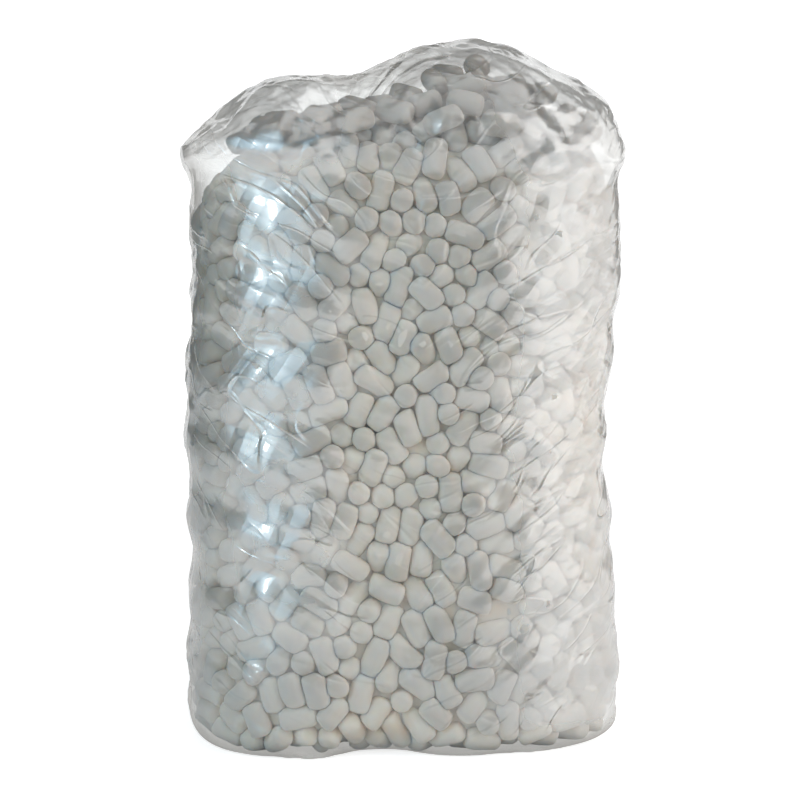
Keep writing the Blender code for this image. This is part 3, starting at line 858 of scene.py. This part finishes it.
def drape(rows, kinds, tree):
    # the film is drawn tight over the peanuts' crests, and then softened
    normals = gridNormals(rows)
    feelFrom = film["feelFrom"]
    further = 2 * feelFrom + film["feelFurther"]
    found = feelPeanuts(rows, normals, tree, np.flatnonzero(kinds == 1), feelFrom, further)
    obstacle = np.where(np.isnan(found), film["openHeight"], found)
    side = (kinds == 1)[:, None] & np.ones(rows.shape[:2], dtype=bool)
    around = [np.roll(np.roll(obstacle, i, axis=0), j, axis=1) for i in (-1, 0, 1) for j in (-1, 0, 1)]
    crests = np.maximum.reduce(around)
    height = np.where(side, np.maximum(crests, film["lowestStart"]), 0.0)
    for _ in range(film["tautness"]):
        height = np.where(side, np.maximum(crests, neighbourMean(height) - film["tautPull"]), 0.0)
    for _ in range(film["softening"]):
        height = np.where(side, 0.5 * height + 0.5 * neighbourMean(height), 0.0)
    # what still cuts in is raised over a wider patch
    lack = np.where(side, np.clip(obstacle - height, 0, film["mostLack"]), 0.0)
    height = np.maximum(height + spread(lack, *film["lackRounds"]), np.where(side, obstacle, height))
    height = np.clip(height, film["deepest"], film["highest"])
    sideRow = np.cumsum(kinds == 1)
    rowsLeft = sideRow[-1] - sideRow + 1
    stops = np.where(kinds == 1, smoothStep(*film["shoulderFade"], rowsLeft), 0)
    fade = smoothStep(*film["footFade"], sideRow) * stops
    crown = kinds == 2
    place = np.cumsum(crown) / crown.sum()
    starts, ends = smoothStep(*crownFolds["starts"], place), smoothStep(*crownFolds["ends"], place)
    crownFade = np.where(crown, starts * (1 - ends), 0)
    offset = height * fade[:, None] + fineFolds(rows) * np.maximum(fade, 0)[:, None]
    offset += crownFade[:, None] * crownCreases(rows)
    draped = rows + normals * offset[..., None]
    draped[..., 2] = np.maximum(draped[..., 2], 0.0)
    return draped


filmLook = {
    "milk": 0.11,               # share of the film that isn't clear, face on
    "edgeMilk": 0.34,           # more at grazing angles, in the slack crown and where it is crinkled
    "slackMilk": 0.07,
    "crinkledMilk": 0.29,
    # how crinkled it is, by the distance round the bag from the front's middle, less than 0 to the left
    "crinkled": [
        (-0.50, 0.0), (-0.42, 0.3), (-0.30, 0.5), (-0.17, 0.3), (-0.145, 0.75), (-0.065, 0.62),
        (-0.045, 0.05), (0.025, 0.0), (0.065, 0.50), (0.10, 0.95), (0.26, 0.9), (0.42, 0.3), (0.50, 0.0),
    ],
    "leftEnds": (0.045, 0.130), # the heights between which the crinkled part at the left comes in
    "footEnds": (0.004, 0.034), # under these it is taut and clear
    "footClear": 0.4,
    "slackFrom": -0.035,        # from under the shoulder to over it
    "slackTo": 0.020,
    "wisps": 0.14,
    "wispScale": 26.0,
    "wispMiddle": 0.45,         # the level of the wisps that neither adds to the milk nor takes from it
    "milkColour": (0.30, 0.31, 0.30),
    "haze": 0.33,               # roughness of the broad gloss
    "hazeIor": 4.0,
    "shine": 0.035,             # roughness of the sharp gloss
    "shineIor": 1.9,
    "tautClear": (0.97, 0.975, 0.97),
    "slackClear": (0.94, 0.945, 0.94),
    # partly the film passing less light at grazing angles, partly painted shade: its dark brownish edge
    # stands in for the shade and dark surroundings seen at the bag's sides
    "edgeClearAndShade": (0.33, 0.31, 0.28),
    "edgePower": 2.6,           # more keeps the dark edge narrower
    "bendScale": 14.0,          # of what draws the folds out of line, and how far
    "bendReach": 0.030,
    "stillShare": 0.25,         # of the facets' height where the film is taut
    # slope, distance and height of each set of facets
    "facets": [(-0.50, 0.034, 0.0008), (0.35, 0.021, 0.0004), (0.20, 0.060, 0.0012), (-1.60, 0.047, 0.0007)],
    "creaseSlope": -0.55,
    "creaseGrain": [(9.0, 34.0, 0.3), (16.0, 24.0, 5.7)],
    "creaseThinness": 46.0,
    "creaseHeight": 0.0004,
    "creasePatches": 21.0,
    "creasePatchEnds": (0.40, 0.56),
}


def addFacets(n, side, along, up):
    # flat facets with sharp folds between them
    facets = None
    for number, (rise, pitch, height) in enumerate(filmLook["facets"]):
        across = n.maths("MULTIPLY_ADD", side if number % 2 == 0 else along, rise, up)
        fold = n.maths("PINGPONG", across, pitch / 2)
        height = n.maths("MULTIPLY", fold, height / (pitch / 2))
        facets = height if facets is None else n.maths("ADD", facets, height)
    return facets


def addCreases(n, place, side, along, up):
    # long thin creases in patches, which rise to both sides of the front
    across = n.maths("MULTIPLY_ADD", side, filmLook["creaseSlope"], up)
    lines = None
    for far, tall, shift in filmLook["creaseGrain"]:
        grain = n.add("ShaderNodeCombineXYZ", {
            "X": n.maths("MULTIPLY", along, far), "Y": n.maths("MULTIPLY", across, tall), "Z": shift,
        })
        level = n.add("ShaderNodeTexNoise", {
            "Vector": grain.outputs[0], "Scale": 1.0, "Detail": 1.0, "Roughness": 0.4,
        }).outputs["Fac"]
        off = n.maths("ABSOLUTE", n.maths("SUBTRACT", level, 0.5))
        thin = n.maths("MULTIPLY_ADD", off, -filmLook["creaseThinness"], 1.0, clamp=True)
        lines = thin if lines is None else n.maths("MAXIMUM", lines, thin)
    patches = n.add("ShaderNodeTexNoise", {
        "Vector": place, "Scale": filmLook["creasePatches"], "Detail": 1.0,
    }).outputs["Fac"]
    low, high = filmLook["creasePatchEnds"]
    where = n.add("ShaderNodeMapRange", {"Value": patches, "From Min": low, "From Max": high})
    return n.maths("MULTIPLY", lines, where.outputs[0])


def makeFilmFinish():
    n = Nodes("clear film")
    slack = n.add("ShaderNodeAttribute", attribute_name="slack").outputs["Fac"]
    arc = n.add("ShaderNodeAttribute", attribute_name="arc").outputs["Fac"]
    crinkled = n.add("ShaderNodeAttribute", attribute_name="crinkled").outputs["Fac"]
    place = n.add("ShaderNodeTexCoord").outputs["Object"]
    split = n.add("ShaderNodeSeparateXYZ", {"Vector": place})
    facing = n.add("ShaderNodeLayerWeight", {"Blend": 0.5}).outputs["Facing"]
    edge = n.maths("POWER", facing, filmLook["edgePower"])
    # how milky it is
    cloud = n.add("ShaderNodeTexNoise", {
        "Vector": place, "Scale": filmLook["wispScale"], "Detail": 3.0,
    }).outputs["Fac"]
    cover = n.maths("MULTIPLY_ADD", edge, filmLook["edgeMilk"], filmLook["milk"])
    cover = n.maths("MULTIPLY_ADD", slack, filmLook["slackMilk"], cover)
    cover = n.maths("MULTIPLY_ADD", crinkled, filmLook["crinkledMilk"], cover)
    wisps = n.maths("MULTIPLY_ADD", cloud, filmLook["wisps"], -filmLook["wisps"] * filmLook["wispMiddle"])
    cover = n.maths("ADD", cover, wisps, clamp=True)
    # along is round the bag and up is its height, both drawn a little out of line
    wave = n.add("ShaderNodeTexNoise", {
        "Vector": place, "Scale": filmLook["bendScale"], "Detail": 1.0,
    }).outputs["Color"]
    bent = n.add("ShaderNodeSeparateXYZ", {"Vector": wave})
    along = n.maths("MULTIPLY_ADD", bent.outputs["X"], filmLook["bendReach"], arc)
    up = n.maths("MULTIPLY_ADD", bent.outputs["Y"], filmLook["bendReach"], split.outputs["Z"])
    side = n.maths("ABSOLUTE", arc)
    still = filmLook["stillShare"]
    busy = n.maths("MULTIPLY_ADD", n.maths("MAXIMUM", crinkled, slack), 1 - still, still)
    facets = n.maths("MULTIPLY", addFacets(n, side, along, up), busy)
    creases = addCreases(n, place, side, along, up)
    faceted = n.add("ShaderNodeBump", {"Strength": 1.0, "Distance": 1.0, "Height": facets})
    creased = n.add("ShaderNodeBump", {
        "Strength": 1.0, "Distance": filmLook["creaseHeight"], "Height": creases,
        "Normal": faceted.outputs["Normal"],
    })
    n.feed(n.shader, "Base Color", (*filmLook["milkColour"], 1.0))
    n.feed(n.shader, "Roughness", filmLook["haze"])
    n.feed(n.shader, "IOR", filmLook["hazeIor"])
    n.feed(n.shader, "Specular IOR Level", 1.0)
    n.feed(n.shader, "Coat Weight", 1.0)
    n.feed(n.shader, "Coat Roughness", filmLook["shine"])
    n.feed(n.shader, "Coat IOR", filmLook["shineIor"])
    n.feed(n.shader, "Normal", creased.outputs["Normal"])
    n.feed(n.shader, "Coat Normal", creased.outputs["Normal"])
    clearness = n.ramp(slack, [(0.0, filmLook["tautClear"]), (1.0, filmLook["slackClear"])])
    # towards grazing angles what passes turns to the dark edge colour, which is partly painted shade
    passed = n.add("ShaderNodeMix", data_type="RGBA")
    n.feed(passed, 0, edge)
    n.feed(passed, 6, clearness)
    n.feed(passed, 7, (*filmLook["edgeClearAndShade"], 1.0))
    clear = n.add("ShaderNodeBsdfTransparent", {"Color": passed.outputs[2]})
    mix = n.add("ShaderNodeMixShader", {0: cover, 1: clear.outputs[0], 2: n.shader.outputs[0]})
    n.feed(n.output, "Surface", mix.outputs[0])
    return n.finish


def plainThing(name, points, faces):
    mesh = bpy.data.meshes.new(name)
    mesh.from_pydata([tuple(point) for point in points], [], faces)
    thing = bpy.data.objects.new(name, mesh)
    scene.collection.objects.link(thing)
    return thing


def simulateSlack(coarse, corners, polygons):
    # where the film's coarse points end up, held at the shoulder and at the neck and carried by the air
    rowCount, columns = coarse.shape[:2]
    slackFilm = plainThing("slack film", coarse.reshape(-1, 3).tolist(), roundFaces(rowCount, columns))
    held = slackFilm.vertex_groups.new(name="held")
    low = list(range(cloth["heldLow"] * columns))
    high = list(range((rowCount - cloth["heldHigh"]) * columns, rowCount * columns))
    held.add(low + high, 1.0, "REPLACE")
    under = plainThing("peanuts under it", corners, polygons)
    under.modifiers.new("solid", "COLLISION")
    under.collision.thickness_outer = cloth["gap"]
    fall = slackFilm.modifiers.new("settle", "CLOTH")
    fall.settings.quality = cloth["quality"]
    fall.settings.mass = cloth["mass"]
    fall.settings.tension_stiffness = cloth["stretch"]
    fall.settings.compression_stiffness = cloth["stretch"]
    fall.settings.shear_stiffness = cloth["shear"]
    fall.settings.bending_stiffness = cloth["bend"]
    fall.settings.air_damping = cloth["airDrag"]
    fall.settings.shrink_min = -cloth["slack"]
    fall.settings.use_pressure = True
    fall.settings.uniform_pressure_force = cloth["air"]
    fall.settings.effector_weights.gravity = 0
    fall.settings.vertex_group_mass = "held"
    fall.collision_settings.distance_min = cloth["gap"]
    fall.collision_settings.use_self_collision = False
    fall.point_cache.frame_start = 1
    fall.point_cache.frame_end = cloth["frames"]
    for moment in range(1, cloth["frames"] + 1):
        scene.frame_set(moment)
    shown = slackFilm.evaluated_get(bpy.context.evaluated_depsgraph_get()).data
    settled = np.array([tuple(v.co) for v in shown.vertices]).reshape(coarse.shape)
    scene.frame_set(1)
    bpy.data.objects.remove(slackFilm)
    bpy.data.objects.remove(under)
    return settled


def settleCrown(rows, kinds, corners, polygons):
    crown = np.flatnonzero(kinds == 2)
    first, last = crown[0] - cloth["rowsBelow"], crown[-1]
    rowsUsed = np.unique(np.append(np.arange(first, last, cloth["rowStep"]), last))
    coarse = rows[rowsUsed][:, ::cloth["columnStep"]]
    near = [polygon for polygon in polygons if corners[polygon[0]].z > cloth["peanutsFrom"]]
    moved = np.nan_to_num(simulateSlack(coarse, corners, near) - coarse)
    far = norms(moved)
    moved *= (np.minimum(far, cloth["reach"]) / np.maximum(far, 1e-9))[..., None]
    print("crown settled, moved", round(float(far.mean()) * 1000, 2), "mm on average")
    # from the simulated rows and columns to all of them
    columns = rows.shape[1]
    everyColumn = np.arange(columns)
    places = np.append(everyColumn[::cloth["columnStep"]], columns)
    moves = np.zeros((len(rowsUsed), columns, 3))
    for r in range(len(rowsUsed)):
        for axis in range(3):
            closed = np.append(moved[r, :, axis], moved[r, 0, axis])
            moves[r, :, axis] = np.interp(everyColumn, places, closed)
    settled = rows.copy()
    between = np.arange(first, last + 1)
    for c in range(columns):
        for axis in range(3):
            settled[first:last + 1, c, axis] += np.interp(between, rowsUsed, moves[:, c, axis])
    return settled


def keepOffPeanuts(rows, kinds, tree):
    # where the crown would cut into a peanut, it is lifted over it
    normals = gridNormals(rows)
    start = film["crownFeelFrom"]
    found = feelPeanuts(rows, normals, tree, np.flatnonzero(kinds == 2), start, start + film["clearance"])
    lift = np.nan_to_num(found)
    return rows + normals * np.maximum(spread(lift, *film["liftRounds"]), lift)[..., None]


def distanceRound(rows):
    # round the bag from the middle of the front, less than 0 to the left, more to the right
    columns = rows.shape[1]
    steps = norms(np.roll(rows, -1, axis=1) - rows)
    arc = np.cumsum(steps, axis=1) - steps[:, :1]
    arc -= arc[:, 3 * columns // 4][:, None]
    return np.where(np.arange(columns) < columns // 4, arc + steps.sum(axis=1)[:, None], arc)


def crinkledAt(arc, height):
    places, shares = np.array(filmLook["crinkled"]).T
    crinkled = np.interp(arc, places, shares)
    crinkled = np.where(arc < 0, crinkled * smoothStep(*filmLook["leftEnds"], height), crinkled)
    taut = 1 - smoothStep(*filmLook["footEnds"], height)
    return crinkled - (crinkled + filmLook["footClear"]) * taut


def makeFilm():
    rows, kinds = filmRings()
    corners, polygons = [], []
    for piece in packedPieces:
        if piece.name in ("inner_peanuts", "peanuts_within"):
            continue
        start = len(corners)
        corners += [v.co.copy() for v in piece.data.vertices]
        polygons += [[start + i for i in p.vertices] for p in piece.data.polygons]
    tree = BVHTree.FromPolygons(corners, polygons)
    draped = drape(rows, kinds, tree)
    draped = settleCrown(draped, kinds, corners, polygons)
    draped = keepOffPeanuts(draped, kinds, tree)
    rowCount, columns = draped.shape[:2]
    faces = roundFaces(rowCount, columns)
    faces.append(list(reversed(range(columns))))        # closes the middle of the foot
    sheet = newMesh("bag_film_sheet", draped.reshape(-1, 3), faces, makeFilmFinish())
    height = draped[..., 2]
    arc = distanceRound(rows)
    shoulder = bag["shoulder"]
    slack = smoothStep(shoulder + filmLook["slackFrom"], shoulder + filmLook["slackTo"], height)
    keepPointValues(sheet, "arc", arc.reshape(-1))
    keepPointValues(sheet, "crinkled", crinkledAt(arc, height).reshape(-1))
    keepPointValues(sheet, "slack", slack.reshape(-1))
    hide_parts("bag_film")
    return sheet


sheet = makeFilm()
print("film made,", len(sheet.data.polygons), "faces")

tieLook = {
    "colour": (0.82, 0.82, 0.80),
    "roughness": 0.42,
    "ribs": 180.0,
    "ribHeight": 0.0003,
    "ribStrength": 0.3,
}


# The tie keeps the model's own band
def makeTieFinish():
    n = Nodes("white tie")
    place = n.add("ShaderNodeTexCoord").outputs["Object"]
    ribs = n.add("ShaderNodeTexWave", {"Vector": place, "Scale": tieLook["ribs"]}, bands_direction="Z")
    ribbed = n.add("ShaderNodeBump", {
        "Strength": tieLook["ribStrength"], "Distance": tieLook["ribHeight"], "Height": ribs.outputs["Fac"],
    })
    n.feed(n.shader, "Base Color", (*tieLook["colour"], 1.0))
    n.feed(n.shader, "Roughness", tieLook["roughness"])
    n.feed(n.shader, "Normal", ribbed.outputs["Normal"])
    return n.finish


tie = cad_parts["neck_tie"]
tie.data.materials.clear()
tie.data.materials.append(makeTieFinish())

# Studio
studio = {
    "target": (0.0, 0.0, 0.275),
    "distance": 1.60,
    "azimuth": -7.0,
    "elevation": 3.0,
    "lens": 86.0,
    "sensorWidth": 36.0,
    "clipStart": 0.02,
    "lampsAimAt": (0, 0, 0.28),
    "worldLevel": 0.110,
    "worldTint": (1.0, 0.975, 0.94),
    "backdropAt": 2.2,          # behind the bag
    "backdropSize": (2.6, 2.4),
    "backdropGlow": 1.0,
    "floor": 6.0,
    "floorAt": -0.0008,
    "floorGlow": 0.80,
    "stageColour": (0.75, 0.75, 0.75),
    "stageRoughness": 0.8,
}
# name, azimuth (0 is in front, more is to the right), elevation, distance, size, radiance, colour
lamps = [
    ("window at the left", -43, 12, 2.4, (0.28, 0.44), 18.0, (0.88, 0.97, 1.0)),
    ("cool panel at the left", -43, 12, 2.5, (1.9, 1.5), 1.55, (0.46, 0.78, 1.0)),
    ("broad panel at the right", 50, 14, 2.5, (2.4, 2.6), 1.85, (1.0, 0.995, 0.985)),
    ("panel beyond it", 100, 10, 2.5, (1.9, 2.0), 1.25, (1.0, 0.995, 0.985)),
    ("top light", 10, 66, 2.5, (3.0, 2.6), 0.90, (1.0, 1.0, 1.0)),
    ("light on the back", 175, 20, 2.8, (2.0, 1.6), 0.5, (1.0, 1.0, 1.0)),
]


def wayTo(azimuth, elevation):
    # the direction from the bag to what stands at that azimuth and elevation
    turned, rise = math.radians(azimuth), math.radians(elevation)
    return Vector((math.sin(turned) * math.cos(rise), -math.cos(turned) * math.cos(rise), math.sin(rise)))


def areaLamp(name, azimuth, elevation, distance, size, radiance, colour):
    width, height = size
    lamp = bpy.data.lights.new(name, "AREA")
    lamp.shape = "RECTANGLE"
    lamp.size, lamp.size_y = width, height
    lamp.energy = radiance * math.pi * width * height
    lamp.color = colour
    thing = bpy.data.objects.new(name, lamp)
    way = wayTo(azimuth, elevation)
    thing.location = Vector(studio["lampsAimAt"]) + way * distance
    thing.rotation_euler = way.to_track_quat("Z", "Y").to_euler()
    scene.collection.objects.link(thing)


for lamp in lamps:
    areaLamp(*lamp)


def makeWorld():
    world = bpy.data.worlds.new("studio")
    world.use_nodes = True
    background = world.node_tree.nodes["Background"]
    background.inputs["Color"].default_value = (*studio["worldTint"], 1.0)
    background.inputs["Strength"].default_value = studio["worldLevel"]
    scene.world = world


makeWorld()


def makeStageFinish(name, glow):
    # white for the camera and in what gloss and clear film show, and no light on the bag
    n = Nodes(name)
    n.feed(n.shader, "Base Color", (*studio["stageColour"], 1.0))
    n.feed(n.shader, "Roughness", studio["stageRoughness"])
    n.feed(n.shader, "Specular IOR Level", 0.0)
    paths = n.add("ShaderNodeLightPath")
    seen = n.maths("ADD", paths.outputs["Is Camera Ray"], paths.outputs["Is Glossy Ray"])
    seen = n.maths("ADD", seen, paths.outputs["Is Transmission Ray"], clamp=True)
    n.feed(n.shader, "Emission Color", (1.0, 1.0, 1.0, 1.0))
    n.feed(n.shader, "Emission Strength", n.maths("MULTIPLY", seen, glow))
    return n.finish


def stagePiece(name, corners, finish):
    mesh = bpy.data.meshes.new(name)
    mesh.from_pydata([tuple(corner) for corner in corners], [], [(0, 1, 2, 3)])
    mesh.materials.append(finish)
    thing = bpy.data.objects.new(name, mesh)
    scene.collection.objects.link(thing)


def makeFloor():
    half, z = studio["floor"], studio["floorAt"]
    corners = [(-half, -half, z), (half, -half, z), (half, half, z), (-half, half, z)]
    stagePiece("floor", corners, makeStageFinish("pale floor", studio["floorGlow"]))


def makeBackdrop():
    turned = math.radians(studio["azimuth"])
    away = Vector((-math.sin(turned), math.cos(turned), 0.0))
    side = Vector((math.cos(turned), math.sin(turned), 0.0))
    width, height = studio["backdropSize"]
    foot = away * studio["backdropAt"] + Vector((0, 0, studio["floorAt"]))
    corners = [foot - side * width / 2, foot + side * width / 2]
    corners += [corner + Vector((0, 0, height)) for corner in reversed(corners)]
    stagePiece("backdrop", corners, makeStageFinish("white backdrop", studio["backdropGlow"]))


makeFloor()
makeBackdrop()

camera = bpy.data.objects.new("camera", bpy.data.cameras.new("camera"))
scene.collection.objects.link(camera)
towardsCamera = wayTo(studio["azimuth"], studio["elevation"])
camera.location = Vector(studio["target"]) + towardsCamera * studio["distance"]
camera.rotation_euler = towardsCamera.to_track_quat("Z", "Y").to_euler()
camera.data.lens = studio["lens"]
camera.data.sensor_width = studio["sensorWidth"]
camera.data.clip_start = studio["clipStart"]
scene.camera = camera
print("studio made")
